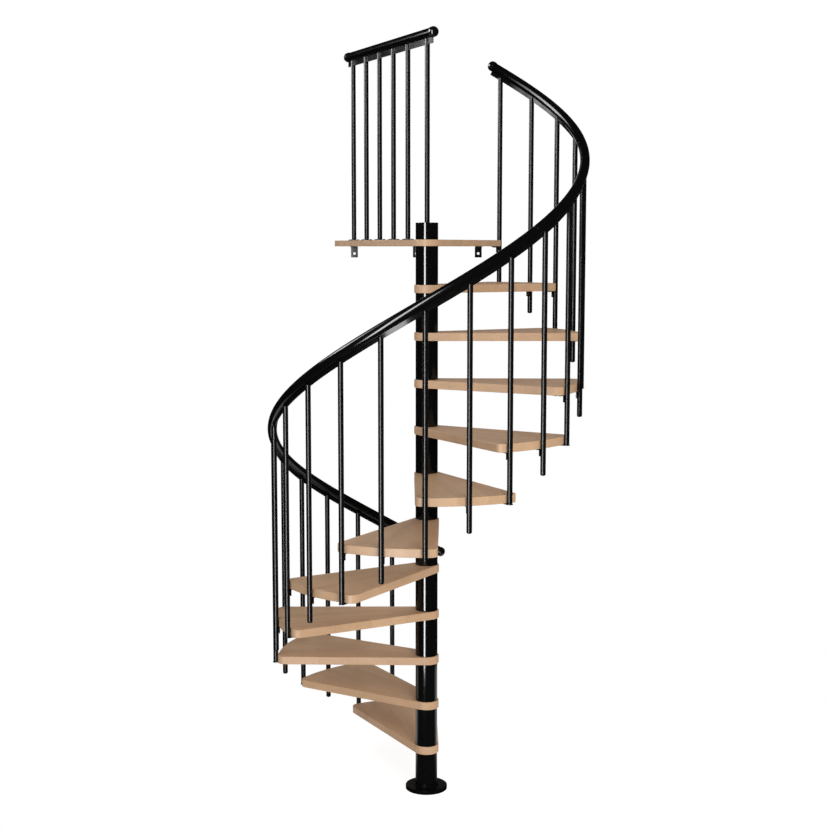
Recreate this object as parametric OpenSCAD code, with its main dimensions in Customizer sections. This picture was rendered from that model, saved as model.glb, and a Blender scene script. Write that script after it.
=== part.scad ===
// Spiral staircase with a central column, eleven wooden treads, a landing
// board, round balusters and a helical handrail. Millimetres, +Z up.
// The origin is on the column's axis, on the underside of the base flange.
// The stair climbs anticlockwise seen from above.

/* [Stair] */
// Height from one tread to the next
rise = 210; // [190:1:230]
// Angle from one tread to the next
turn = 30; // [27:0.5:32]
// Angle of the first baluster, measured from +X
start_angle = 89; // [80:1:100]

/* [Column] */
// Diameter of the column's tubes
column_d = 100; // [80:1:120]
// Length of column that stands above the landing
column_above = 74; // [40:1:120]
// How far the tread's round hub stands out from the column
hub_margin = 6; // [3:0.5:12]

/* [Base flange] */
// Diameter of the flange
flange_d = 190; // [150:1:240]
// Thickness of the flange
flange_t = 17; // [8:1:25]
// Radius of the weld fillet at the foot of the column
weld_r = 8; // [3:1:12]

/* [Treads] */
// Radius of the tread's outer edge
tread_r = 677; // [600:1:760]
// Thickness of a tread
tread_t = 36; // [28:1:45]
// Corner radius of a tread, seen from above
tread_corner = 32; // [10:1:45]
// Angle by which the nosing passes the baluster it rests on
nosing_over = 3.5; // [1:0.1:4]
// Angle by which the back corner passes its own baluster
back_over = 4.3; // [1:0.1:5]

/* [Landing] */
// Thickness of the landing board
landing_t = 29; // [22:1:40]
// Length of the column tube between the last tread and the landing
landing_tube = 170; // [150:1:190]
// Angle by which the landing's nosing passes the last baluster
landing_over = 2.1; // [1:0.1:3]
// Distance from the column's axis to the landing's back edge
landing_back = 930; // [800:1:1000]
// Distance from the column's axis to the landing's left corner
landing_left = 458; // [420:1:500]
// Clearance between the landing's right edge and the last baluster
landing_clear = 1; // [0.5:0.5:4]
// Corner radius of the landing's back
landing_corner = 18; // [5:1:30]

/* [Balusters] */
// Diameter of a baluster
baluster_d = 23; // [18:0.5:28]
// Length of a middle baluster below its tread
baluster_hang = 111; // [60:1:130]
// Thickness of the steel lugs and foot plates
lug_t = 4; // [3:0.5:6]
// Width of a lug
lug_w = 20; // [16:1:30]
// Length of a lug's flat leg under the wood
lug_reach = 52; // [35:1:80]
// Height of a lug's upright leg
lug_h = 30; // [20:1:40]
// How far a foot plate stands out round its linking baluster
foot_plate_lip = 2; // [1:0.5:5]
// Rounding of a baluster's ends
bar_round = 3; // [1:0.5:5]
// Rounding of a hanging baluster's lower end
hang_round = 7; // [3:0.5:9]
// Clearance between a bar or post and the plate that it stands on
seat_gap = 0.2; // [0.1:0.05:0.5]

/* [Handrail] */
// Height of the handrail's axis above the step at a baluster
rail_height = 998; // [900:1:1060]
// Diameter of the handrail
rail_d = 42; // [36:1:50]
// Diameter of the handrail's end caps
cap_d = 47; // [38:1:56]
// Length of the end caps' straight collars
cap_collar = 12; // [6:0.5:18]
// Length of the end caps' domes
cap_dome = 20; // [12:0.5:26]
// Angle by which the handrail starts before the first baluster
rail_before = 4.6; // [3.5:0.1:7]
// Angle by which the handrail runs on past the last baluster
rail_after = 2.8; // [2:0.1:4]
// Height of the flat strip below the handrail
strip_h = 18.5; // [12:0.5:26]
// Thickness of the flat strip
strip_t = 5; // [4:0.5:8]
// Clearance of the slot that the strip sits in
slot_gap = 0.3; // [0.1:0.05:0.5]

/* [Landing guard] */
// Height of the guard rail's axis above the landing
guard_height = 903; // [850:1:1050]
// Distance from the column's axis to the first guard post
guard_start = 98; // [92:1:120]
// Sideways place of the first guard post
guard_side = 2; // [0:0.5:6]
// Direction of the guard, measured from +X
guard_angle = 115.3; // [113.5:0.1:116]
// Space from the first guard post to the second
guard_first_gap = 203; // [150:1:230]
// Space between the other guard posts
guard_gap = 159; // [120:1:165]
// Length of guard rail past the first and last posts
guard_over = 50; // [40:1:60]
// Height of the flat strip below the guard rail
guard_strip_h = 27; // [16:0.5:34]
// How far the flat strip runs on past the guard rail's ends
guard_strip_over = 8; // [0:1:12]
// Diameter of a guard post's foot plate
foot_d = 57; // [40:1:60]
// Thickness of a guard post's foot plate
foot_t = 4; // [3:0.5:6]

/* [Landing brackets] */
// Space between the brackets
bracket_pitch = 313; // [280:1:330]
// Sideways place of the middle bracket
bracket_x = -45; // [-60:1:-30]
// Width of a bracket
bracket_w = 35; // [28:1:45]
// Height of a bracket's upright leg
bracket_h = 56; // [45:1:80]
// Length of a bracket's flat leg
bracket_reach = 60; // [40:1:90]
// Thickness of a bracket
bracket_t = 5; // [4:0.5:8]
// Diameter of a bracket's bolt hole
bracket_hole_d = 13; // [9:0.5:16]
// Distance from the landing's underside to the bolt hole
bracket_hole_drop = 36; // [30:1:42]

/* [Hidden] */
STEPS = 11;
SEG = 4;              // degrees in one straight length of the helix
ROUND = 24;           // sides of the swept handrail
hub_r = column_d / 2 + hub_margin;
bal_r = tread_r + baluster_d / 2;          // balusters stand just outside the treads
landing_base = STEPS * rise + landing_tube;
landing_top = landing_base + landing_t;
column_top = landing_top + column_above;
pitch = atan(rise / (turn * PI / 180 * bal_r));     // slope of the handrail
last_angle = start_angle + STEPS * turn;   // angle of the last baluster
landing_right = bal_r * cos(last_angle) - baluster_d / 2 - landing_clear;
strip_drop = rail_d / 2 + strip_h;         // handrail axis to the strip's lower edge
guard_strip_drop = rail_d / 2 + guard_strip_h;
top_drop = (rail_d / 2) / cos(pitch) + baluster_d / 2 * tan(pitch) + slot_gap;
rail_from = start_angle - rail_before;
rail_to = last_angle + rail_after;
rail_part = (rail_to - rail_from) / 3;

function dir(a) = [cos(a), sin(a)];
function rail_z(a) = (a - start_angle) / turn * rise + rail_height;
// height of the underside of tread k; the landing comes after the last tread
function underside(k) = k > STEPS ? landing_base : k * rise - tread_t;

// ---- base and column ----------------------------------------------------

// round flange with a rounded rim and a weld fillet round the column's foot
module base_flange() {
    rim = 2;
    color("#101010")
        rotate_extrude($fn = 96)
            polygon(concat(
                [[0, 0], [flange_d / 2 - 0.5, 0], [flange_d / 2, 0.5]],
                [for (i = [0 : 3]) [flange_d / 2 - rim + rim * cos(i * 30),
                                    flange_t - rim + rim * sin(i * 30)]],
                [for (i = [0 : 6]) [column_d / 2 + weld_r - weld_r * sin(i * 15),
                                    flange_t + weld_r - weld_r * cos(i * 15)]],
                [[0, flange_t + weld_r]]));
}

// one tube of the column, with a fine chamfer at both ends
module column_tube(z0, z1) {
    c = 1;                                 // chamfer
    translate([0, 0, z0])
        rotate_extrude($fn = 96)
            polygon([[0, 0], [column_d / 2 - c, 0], [column_d / 2, c],
                     [column_d / 2, z1 - z0 - c], [column_d / 2 - c, z1 - z0], [0, z1 - z0]]);
}

// the tubes clamp the hubs of the treads between them
module column_tubes() {
    color("#0c0c0d") {
        column_tube(flange_t + weld_r, underside(1));
        for (k = [1 : STEPS])
            column_tube(k * rise, underside(k + 1));
        column_tube(landing_top, column_top);
    }
}

// ---- wood ---------------------------------------------------------------

// Points of a rounded corner between a straight side and the outer edge.
// a is the side's direction, s is +1 for the nosing and -1 for the back side.
function corner_centre(a, h, r, rc) =
    let (across = h - rc, along = sqrt((r - rc) * (r - rc) - across * across))
    [along, across];
function side_point(a, s, p) = [p[0] * cos(a) + s * p[1] * sin(a),
                                p[0] * sin(a) - s * p[1] * cos(a)];
function corner(a, s, h, r, rc) =
    let (c = corner_centre(a, h, r, rc), t = atan2(c[1], c[0]))
    [for (i = [0 : 6]) let (b = 90 - (90 - t) * i / 6)
        side_point(a, s, [c[0] + rc * cos(b), c[1] + rc * sin(b)])];
function rev(v) = [for (i = [len(v) - 1 : -1 : 0]) v[i]];

// Outline of a tread between balusters at angles a0 and a1. Each straight side
// starts as a tangent of the round hub and runs to its rounded corner.
module tread_outline(a0, a1) {
    n_dir = a0 - nosing_over + asin(hub_r / tread_r);
    b_dir = a1 + back_over - asin(hub_r / tread_r);
    nose = corner(n_dir, 1, hub_r, tread_r, tread_corner);
    back = rev(corner(b_dir, -1, hub_r, tread_r, tread_corner));
    n_end = atan2(nose[6][1], nose[6][0]);
    b_end = n_end + ((atan2(back[0][1], back[0][0]) - n_end + 720) % 360);
    edge = [for (i = [1 : 15]) tread_r * dir(n_end + (b_end - n_end) * i / 16)];
    hub = [for (i = [0 : 14]) hub_r * dir(b_dir + 90 + (180 - b_dir + n_dir) * i / 14)];
    polygon(concat(nose, edge, back, hub));
}

// tread k; its top is k rises above the floor
module tread(k) {
    color("#c9a27c")
        translate([0, 0, underside(k)])
            linear_extrude(height = tread_t)
                tread_outline(start_angle + (k - 1) * turn, start_angle + k * turn);
}

// landing board: its nosing follows the treads, its right side runs straight
// back just inside the last baluster, and its back edge is square
module landing_board() {
    n_dir = last_angle - 360 - landing_over + asin(hub_r / tread_r);
    nose = corner(n_dir, 1, hub_r, tread_r, tread_corner);
    corner_a = atan2(landing_back, -landing_left);
    l_dir = corner_a - asin(hub_r / norm([landing_back, landing_left]));
    hub = [for (i = [0 : 14]) hub_r * dir(l_dir + 90 + (180 - l_dir + n_dir) * i / 14)];
    rc = landing_corner;
    side = [[landing_right, nose[6][1] + 2 * landing_clear]];
    back = [for (i = [0 : 4]) [landing_right - rc + rc * cos(i * 22.5),
                               landing_back - rc + rc * sin(i * 22.5)]];
    eased = [[-landing_left + 4, landing_back], [-landing_left, landing_back - 3]];
    color("#c9a27c")
        translate([0, 0, landing_base])
            linear_extrude(height = landing_t)
                polygon(concat(nose, side, back, eased, hub));
}

// ---- balusters ----------------------------------------------------------

// straight round bar from z0 to z1 with rounded ends
module bar(z0, z1, foot_round = bar_round) {
    d = baluster_d;
    e = bar_round;
    f = foot_round;
    translate([0, 0, z0])
        rotate_extrude($fn = 48)
            polygon(concat([[0, 0]],
                [for (i = [0 : 3]) [d / 2 - f + f * sin(i * 30), f - f * cos(i * 30)]],
                [for (i = [0 : 3]) [d / 2 - e + e * cos(i * 30), z1 - z0 - e + e * sin(i * 30)]],
                [[0, z1 - z0]]));
}

// slot in the top of a bar that takes the flat strip, sloped like the rail
module strip_slot(slope, zc, drop) {
    translate([0, 0, zc])
        rotate([slope, 0, 0])
            translate([-strip_t / 2 - slot_gap, -baluster_d * 2, -drop - slot_gap])
                cube([strip_t + 2 * slot_gap, baluster_d * 4, drop * 2]);
}

// bar at angle a on the baluster circle, slotted over the strip
module baluster(a, z0, foot_round = bar_round) {
    rotate([0, 0, a])
        translate([bal_r, 0, 0])
            difference() {
                bar(z0, rail_z(a) - top_drop, foot_round);
                strip_slot(pitch, rail_z(a), strip_drop);
            }
}

// flat steel under the wood, with an upright leg against the bar
module lug(a, zu) {
    color("#101010")
        rotate([0, 0, a])
            translate([bal_r - baluster_d / 2, -lug_w / 2, zu]) {
                translate([-lug_reach, 0, -lug_t]) cube([lug_reach, lug_w, lug_t]);
                translate([-lug_t, 0, -lug_h]) cube([lug_t, lug_w, lug_h]);
            }
}

// foot plate that the bar stands on, rounded round the bar and running in under the wood
module foot(a, zu) {
    w = baluster_d + 2 * foot_plate_lip;
    color("#101010")
        rotate([0, 0, a])
            translate([bal_r, 0, zu - lug_t]) {
                translate([-baluster_d / 2 - lug_reach, -w / 2, 0])
                    cube([baluster_d / 2 + lug_reach, w, lug_t]);
                cylinder(d = w, h = lug_t, $fn = 64);
            }
}

// the linking bar of step k stands at the tread's back corner and also
// holds the nosing of the next tread
module link_baluster(k) {
    a = start_angle + k * turn;
    zu = k == 0 ? lug_t : underside(k);    // the first one stands on the floor
    color("#0c0c0d") baluster(a, zu + seat_gap);
    foot(a, zu);
    lug(a, underside(k + 1));
}

// the middle bar of step k hangs past its tread
module middle_baluster(k) {
    a = start_angle + (k - 0.5) * turn;
    color("#0c0c0d") baluster(a, underside(k) - baluster_hang, hang_round);
    lug(a, underside(k));
}

module balusters(k) {
    link_baluster(k);
    if (k > 0) middle_baluster(k);
}

// ---- handrail -----------------------------------------------------------

// Place of a point of the rail's section; u is outward, v is up and square to
// the run of the rail
function rail_point(a, u, v) = [
    (bal_r + u) * cos(a) + v * sin(pitch) * sin(a),
    (bal_r + u) * sin(a) - v * sin(pitch) * cos(a),
    rail_z(a) + v * cos(pitch)];

// sweeps a section along the helix between two angles
module helix(section, a0, a1) {
    n = len(section);
    m = ceil((a1 - a0) / SEG);
    pts = [for (i = [0 : m]) for (p = section)
        rail_point(a0 + (a1 - a0) * i / m, p[0], p[1])];
    sides = [for (i = [0 : m - 1]) for (j = [0 : n - 1])
        let (b = i * n + j, c = i * n + (j + 1) % n)
        each [[b, b + n, c], [c, b + n, c + n]]];
    polyhedron(points = pts, faces = concat(sides,
        [[for (j = [0 : n - 1]) j]],
        [[for (j = [n - 1 : -1 : 0]) m * n + j]]), convexity = 8);
}

rail_section = [for (j = [0 : ROUND - 1])
    rail_d / 2 * [cos(j * 360 / ROUND), sin(j * 360 / ROUND)]];
strip_top = -rail_d / 2;                   // the strip meets the tube along one line
strip_section = [[strip_t / 2, -strip_drop], [strip_t / 2, strip_top],
                 [-strip_t / 2, strip_top], [-strip_t / 2, -strip_drop]];

module rail_length(i) {
    color("#0c0c0d")
        helix(rail_section, rail_from + i * rail_part, rail_from + (i + 1) * rail_part);
}

module strip_length(i) {
    color("#141416")
        helix(strip_section, rail_from + i * rail_part, rail_from + (i + 1) * rail_part);
}

// domed cap with a short collar; it points along +Z
module cap() {
    r = cap_d / 2;
    color("#0c0c0d") rotate_extrude($fn = 64)
        polygon(concat([[0, 0], [r - 1, 0], [r, 1], [r, cap_collar]],
            [for (i = [1 : 8]) [r * cos(i * 90 / 8), cap_collar + cap_dome * sin(i * 90 / 8)]]));
}

// puts a cap on the helix at angle a, pointing up or down the stair
module helix_cap(a, up) {
    rotate([0, 0, a])
        translate([bal_r, 0, rail_z(a)])
            rotate([up ? -(90 - pitch) : 90 + pitch, 0, 0])
                cap();
}

// ---- landing guard ------------------------------------------------------

guard_z = landing_top + guard_height;
guard_len = guard_first_gap + 4 * guard_gap;

// moves to the first guard post, with +X along the guard
module at_guard() {
    translate([guard_side, guard_start, 0]) rotate([0, 0, guard_angle]) children();
}

module guard_rail() {
    color("#0c0c0d") at_guard()
        translate([-guard_over, 0, guard_z]) rotate([0, 90, 0])
            cylinder(d = rail_d, h = guard_len + 2 * guard_over, $fn = 64);
}

module guard_cap(far) {
    at_guard()
        translate([far ? guard_len + guard_over : -guard_over, 0, guard_z])
            rotate([0, far ? 90 : -90, 0]) cap();
}

// flat strip under the guard rail, cut back round the two end caps
module guard_strip() {
    over = guard_over + guard_strip_over;
    color("#141416") at_guard()
        difference() {
            translate([-over, -strip_t / 2, guard_z - guard_strip_drop])
                cube([guard_len + 2 * over, strip_t, guard_strip_drop + strip_top]);
            for (x = [-over - 1, guard_len + guard_over - slot_gap])
                translate([x, 0, guard_z]) rotate([0, 90, 0])
                    cylinder(d = cap_d + slot_gap, h = guard_strip_over + slot_gap + 1, $fn = 64);
        }
}

module guard_posts() {
    at_guard()
        for (i = [0 : 5])
            translate([i == 0 ? 0 : guard_first_gap + (i - 1) * guard_gap, 0, 0]) {
                color("#0c0c0d") difference() {
                    bar(landing_top + foot_t + seat_gap, guard_z - rail_d / 2 - slot_gap);
                    rotate([0, 0, 90]) strip_slot(0, guard_z, guard_strip_drop);
                }
                color("#141416") translate([0, 0, landing_top])
                    cylinder(d = foot_d, h = foot_t, $fn = 64);
            }
}

// ---- landing brackets ---------------------------------------------------

// angle bracket under the landing's back edge, with one bolt hole
module bracket(x) {
    translate([x - bracket_w / 2, 0, landing_base])
        difference() {
            union() {
                translate([0, landing_back - bracket_t, -bracket_h])
                    cube([bracket_w, bracket_t, bracket_h]);
                translate([0, landing_back - bracket_reach, -bracket_t])
                    cube([bracket_w, bracket_reach, bracket_t]);
            }
            translate([bracket_w / 2, landing_back + 1, -bracket_hole_drop])
                rotate([90, 0, 0])
                    cylinder(d = bracket_hole_d, h = bracket_t + 2, $fn = 48);
        }
}

module landing_brackets() {
    color("#101010") for (i = [-1 : 1]) bracket(bracket_x + i * bracket_pitch);
}

// ---- nodes --------------------------------------------------------------

base_flange();
column_tubes();
tread(1);  // tread_01
tread(2);  // tread_02
tread(3);  // tread_03
tread(4);  // tread_04
tread(5);  // tread_05
tread(6);  // tread_06
tread(7);  // tread_07
tread(8);  // tread_08
tread(9);  // tread_09
tread(10);  // tread_10
tread(11);  // tread_11
landing_board();
balusters(0);  // balusters_00
balusters(1);  // balusters_01
balusters(2);  // balusters_02
balusters(3);  // balusters_03
balusters(4);  // balusters_04
balusters(5);  // balusters_05
balusters(6);  // balusters_06
balusters(7);  // balusters_07
balusters(8);  // balusters_08
balusters(9);  // balusters_09
balusters(10);  // balusters_10
balusters(11);  // balusters_11
rail_length(0);  // handrail_lower
rail_length(1);  // handrail_middle
rail_length(2);  // handrail_upper
strip_length(0);  // rail_strip_lower
strip_length(1);  // rail_strip_middle
strip_length(2);  // rail_strip_upper
helix_cap(rail_from, false);  // handrail_cap_lower
helix_cap(rail_to, true);  // handrail_cap_upper
guard_rail();
guard_cap(false);  // guard_cap_near
guard_cap(true);  // guard_cap_far
guard_strip();
guard_posts();
landing_brackets();
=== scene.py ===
# %% [markdown]
# # A spiral staircase, piece by piece
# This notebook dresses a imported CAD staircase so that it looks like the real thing: lacquered
# strip-wood treads, black steel tubes and bars, and a handrail that winds round them.
# The CAD model says where everything is. Each piece here is made fresh with finer roundings
# and eased edges, put in the CAD piece's place, and given its finish.

# %% Load the frame
import math
import bmesh
import bpy
from mathutils import Matrix, Vector


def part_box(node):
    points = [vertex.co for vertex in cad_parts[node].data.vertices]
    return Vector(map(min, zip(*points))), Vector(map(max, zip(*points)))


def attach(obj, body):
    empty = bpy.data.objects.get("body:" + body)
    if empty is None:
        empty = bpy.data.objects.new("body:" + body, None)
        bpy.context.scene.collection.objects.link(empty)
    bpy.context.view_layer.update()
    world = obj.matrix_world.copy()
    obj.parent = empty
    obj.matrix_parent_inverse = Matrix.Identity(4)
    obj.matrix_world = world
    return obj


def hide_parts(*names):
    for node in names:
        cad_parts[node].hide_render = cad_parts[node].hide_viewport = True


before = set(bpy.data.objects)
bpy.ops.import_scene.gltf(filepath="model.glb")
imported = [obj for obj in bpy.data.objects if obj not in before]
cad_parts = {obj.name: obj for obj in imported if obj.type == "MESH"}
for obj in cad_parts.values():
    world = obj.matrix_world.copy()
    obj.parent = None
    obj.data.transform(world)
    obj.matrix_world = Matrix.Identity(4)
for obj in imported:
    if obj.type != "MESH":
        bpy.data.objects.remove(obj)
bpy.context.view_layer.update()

# %% [markdown]
# ## Sizes
# A stair builder works from a few figures: the rise, the angle of a step, and the radius
# that the balusters stand on. What the CAD pieces' boxes tell, such as the rise, is read off
# them. The rest is written out, in metres and degrees. START and LAST are the angles of the
# first and the last baluster.

# %% Sizes read from the frame
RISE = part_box("tread_02")[1].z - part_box("tread_01")[1].z
TREAD_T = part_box("tread_01")[1].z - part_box("tread_01")[0].z
COLUMN_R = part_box("column_tubes")[1].x
COLUMN_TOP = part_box("column_tubes")[1].z
FLANGE_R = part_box("base_flange")[1].x
low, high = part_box("landing_board")
LANDING_LEFT, LANDING_BASE = low.x, low.z
LANDING_RIGHT, LANDING_BACK, LANDING_TOP = high
STEPS = sum(name.startswith("tread_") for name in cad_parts)
print("rise", round(RISE, 4), "tread", round(TREAD_T, 4), "column", round(COLUMN_R, 4), "steps", STEPS)

# %% Sizes written out
TURN = 30.0
START = 89.0
LAST = START + STEPS * TURN
FLANGE_T = 0.017
WELD_R = 0.008
HUB_R = COLUMN_R + 0.006
TREAD_R = 0.677
BAR_D = 0.023
BAR_CIRCLE = TREAD_R + BAR_D / 2
BAR_HANG = 0.111
SEAT = 0.0002
LUG_T = 0.004
RAIL_HEIGHT = 0.998
RAIL_R = 0.021
STRIP_T = 0.005
STRIP_DROP = 0.0395
SLOT = 0.0003
PITCH = math.atan(RISE / (math.radians(TURN) * BAR_CIRCLE))
BAR_TOP = RAIL_R / math.cos(PITCH) + BAR_D / 2 * math.tan(PITCH) + SLOT
print("pitch of the handrail", round(math.degrees(PITCH), 2), "degrees")


# %% Heights along the stair
def underside(step):
    """Height of the wood's underside at a step; the landing comes after the last tread."""
    return LANDING_BASE if step > STEPS else step * RISE - TREAD_T


def rail_height(angle):
    """Height of the handrail's axis at an angle round the column."""
    return (angle - START) / TURN * RISE + RAIL_HEIGHT


print("underside of tread 1", round(underside(1), 4), "last rail height", round(rail_height(LAST), 4))

# %% [markdown]
# ## Camera
# A long lens from a few metres away, level with the landing and tipped down a little, keeps
# the column upright and shows the tops of the lower treads. A turntable shot would also do,
# but one still camera is enough to judge the stair as a whole.


# %% Camera
scene = bpy.context.scene


def added(name, data):
    """Object that holds some data, linked to the scene."""
    obj = bpy.data.objects.new(name, data)
    scene.collection.objects.link(obj)
    return obj


camera = added("camera", bpy.data.cameras.new("camera"))
camera.data.sensor_width = 36
camera.data.lens = 62.72
camera.location = (-0.0569, -6.4142, 2.4738)
camera.rotation_euler = (math.radians(83.419), 0, 0)
scene.camera = camera
scene.view_settings.view_transform = "Standard"
print("camera at", tuple(round(v, 3) for v in camera.location))

# %% [markdown]
# ## Lamps
# Gloss black shows nothing of its own colour, only what it mirrors, so its lamps are placed
# like mirrors: one tall narrow panel gives every tube its single bright line, one high panel
# at the side lights the handrail, and a small dim one lights the landing's guard. These three
# are seen by gloss alone. Three broad soft lamps, in front, at the side and behind, light the
# wood and are seen by matt surfaces alone. It could all be one lamp, but then a lamp strong
# enough to draw the line on black steel would bleach the wood.


# %% Lamps
def panel(name, place, target, width, height, strength, gloss, spread=180):
    """Lamp that faces a target; strength 1 is white paper. Only gloss sees it, or only matt."""
    lamp = bpy.data.lights.new(name, "AREA")
    lamp.shape = "RECTANGLE"
    lamp.size = width
    lamp.size_y = height
    lamp.energy = strength * width * height * math.pi
    lamp.spread = math.radians(spread)
    obj = added(name, lamp)
    obj.location = place
    obj.rotation_euler = (Vector(target) - Vector(place)).to_track_quat("-Z", "Y").to_euler()
    obj.visible_camera = False
    obj.visible_glossy = gloss
    obj.visible_diffuse = not gloss


panel("front_softbox", (2.3, -6.2, 3.3), (0, 0, 1.6), 3.4, 3.6, 9.0, False)
panel("side_softbox", (-4.2, -2.0, 4.2), (0, 0, 1.5), 2.0, 2.0, 5.0, False)
panel("back_softbox", (2.4, 4.6, 4.4), (0, 0, 1.4), 2.6, 2.6, 3.4, False)
panel("tall_glint", (-1.40, -3.75, 2.1), (0, 0, 2.1), 0.95, 6.6, 34.0, True)
panel("high_glint", (-3.0, 0.9, 4.35), (0.3, 0.6, 3.3), 3.4, 2.0, 3.2, True, 60)
panel("guard_glint", (-3.0, 1.80, 3.85), (0, 0.3, 3.4), 1.0, 0.9, 0.75, True, 50)
print(len(bpy.data.lights), "lamps")

# %% [markdown]
# ## The air round the stair
# The stair stands in front of a white backdrop. The world is plain white where it is seen
# straight on, and gloss and glass see the same white behind the stair. In front of it, where
# a studio is dark, gloss sees next to nothing, which keeps the black steel black. Matt
# surfaces get an even pale light from all round.


# %% Node helpers
def node(tree, kind, inputs=None, **settings):
    """Adds a node; inputs maps a socket's name or number to a value or to another node's output."""
    fresh = tree.nodes.new("ShaderNode" + kind)
    for key, value in settings.items():
        setattr(fresh, key, value)
    for key, value in (inputs or {}).items():
        if isinstance(value, bpy.types.NodeSocket):
            tree.links.new(value, fresh.inputs[key])
        else:
            fresh.inputs[key].default_value = value
    return fresh


def calc(tree, operation, *values):
    """Adds one sum and gives its output."""
    return node(tree, "Math", dict(enumerate(values)), operation=operation).outputs[0]


def step_node(tree, value, low, high, to_low=0.0, to_high=1.0):
    """Adds a smooth step from one value to another and gives its output."""
    inputs = {"Value": value, "From Min": low, "From Max": high, "To Min": to_low, "To Max": to_high}
    return node(tree, "MapRange", inputs, interpolation_type="SMOOTHSTEP").outputs[0]


def noise(tree, place, scale, **values):
    """Adds a noise pattern and gives its output."""
    return node(tree, "TexNoise", {"Vector": place, "Scale": scale, **values}).outputs["Fac"]


def blend(tree, mode, factor, first, second):
    """Mixes two colours and gives the result; each may be a value or an output."""
    inputs = {0: factor, 6: first, 7: second}
    return node(tree, "Mix", inputs, data_type="RGBA", blend_type=mode).outputs[2]


print("node helpers ready")

# %% World
AMBIENT, DARK = 0.52, 0.008
world = bpy.data.worlds.new("studio_air")
scene.world = world
world.use_nodes = True
world.cycles.sampling_method = "NONE"
air = world.node_tree
air.nodes.clear()
ray = node(air, "LightPath")
heading = node(air, "SeparateXYZ", {0: node(air, "TexCoord").outputs["Generated"]})
backdrop = step_node(air, heading.outputs["Y"], 0.94, 0.995, DARK, 1.0)
straight = calc(air, "MAXIMUM", ray.outputs["Is Camera Ray"], ray.outputs["Is Transmission Ray"])
level = calc(air, "MULTIPLY_ADD", straight, 1.0 - AMBIENT, AMBIENT)
change = calc(air, "SUBTRACT", backdrop, AMBIENT)
level = calc(air, "MULTIPLY_ADD", ray.outputs["Is Glossy Ray"], change, level)
background = node(air, "Background", {"Color": (1, 1, 1, 1), "Strength": level})
node(air, "OutputWorld", {"Surface": background.outputs[0]})
print("world: even light", AMBIENT)

# %% [markdown]
# ## Floor
# The floor is a plain pale disc that reaches a metre or so past the stair. Near the flange
# it is a matt white that keeps a soft shadow. Towards its edge it fades to the backdrop's
# white, so there is no horizon. An endless floor would also do, but it would fill the lower
# tubes with its own reflection. For the same reason gloss sees a dark cloth on the floor in
# front of the stair, and the white only behind it.

# %% Floor
FLOOR_R, FLOOR_Z = 2.0, -0.0004
FADE_FROM, FADE_TO = 0.55, 1.5
CLOTH_TO, WHITE_FROM, CLOTH = -0.05, 0.45, 0.02
SHADE_DEPTH, GLOW = 0.26, 0.855
floor_paint = bpy.data.materials.new("floor_paint")
floor_paint.use_nodes = True
floor_paint.cycles.emission_sampling = "NONE"
tree = floor_paint.node_tree
tree.nodes.clear()
ray = node(tree, "LightPath")
place = node(tree, "TexCoord").outputs["Object"]
far = node(tree, "VectorMath", {0: place}, operation="LENGTH").outputs["Value"]
fade = step_node(tree, far, FADE_FROM, FADE_TO)
depth = node(tree, "SeparateXYZ", {0: place}).outputs["Y"]
behind = step_node(tree, depth, CLOTH_TO, WHITE_FROM, CLOTH, 1.0)
mirror = calc(tree, "MULTIPLY", ray.outputs["Is Glossy Ray"], behind)
mirror = calc(tree, "MAXIMUM", mirror, ray.outputs["Is Transmission Ray"])
seen = calc(tree, "MAXIMUM", ray.outputs["Is Camera Ray"], mirror)
flag = calc(tree, "SUBTRACT", ray.outputs["Is Glossy Ray"], mirror)
grain = noise(tree, place, 90.0, Detail=3.0)
tone = blend(tree, "MIX", grain, (0.80, 0.80, 0.80, 1), (0.84, 0.84, 0.84, 1))
matt = node(tree, "BsdfDiffuse", {"Color": tone})
thin = node(tree, "BsdfDiffuse", {"Color": (SHADE_DEPTH, SHADE_DEPTH, SHADE_DEPTH, 1)})
glow = node(tree, "Emission", {"Color": (1, 1, 1, 1), "Strength": GLOW})
white = node(tree, "Emission", {"Color": (1, 1, 1, 1), "Strength": 1.0})
near_look = node(tree, "AddShader", {0: thin.outputs[0], 1: glow.outputs[0]})
look = node(tree, "MixShader", {0: fade, 1: near_look.outputs[0], 2: white.outputs[0]})
whole = node(tree, "MixShader", {0: seen, 1: matt.outputs[0], 2: look.outputs[0]})
cloth = node(tree, "BsdfDiffuse", {"Color": (CLOTH, CLOTH, CLOTH, 1)})
whole = node(tree, "MixShader", {0: flag, 1: whole.outputs[0], 2: cloth.outputs[0]})
node(tree, "OutputMaterial", {"Surface": whole.outputs[0]})
angles = [math.radians(a) for a in range(0, 360, 3)]
rim = [(FLOOR_R * math.cos(a), FLOOR_R * math.sin(a), FLOOR_Z) for a in angles]
floor_mesh = bpy.data.meshes.new("floor")
floor_mesh.from_pydata(rim, [], [list(range(len(rim)))])
floor_mesh.materials.append(floor_paint)
floor = added("floor", floor_mesh)
print("floor radius", FLOOR_R)

# %% [markdown]
# ## Finishes
# Two finishes cover the stair: clear-lacquered strip wood and black paint on steel.
# Each is built from small effects that are kept in node groups, so that the treads and the
# landing, or the column and the handrail, share one recipe with their own values.


# %% Finish helpers
def fresh_material(name):
    """A new material, its node tree and its Principled shader."""
    material = bpy.data.materials.new(name)
    material.use_nodes = True
    return material, material.node_tree, material.node_tree.nodes["Principled BSDF"]


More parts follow.
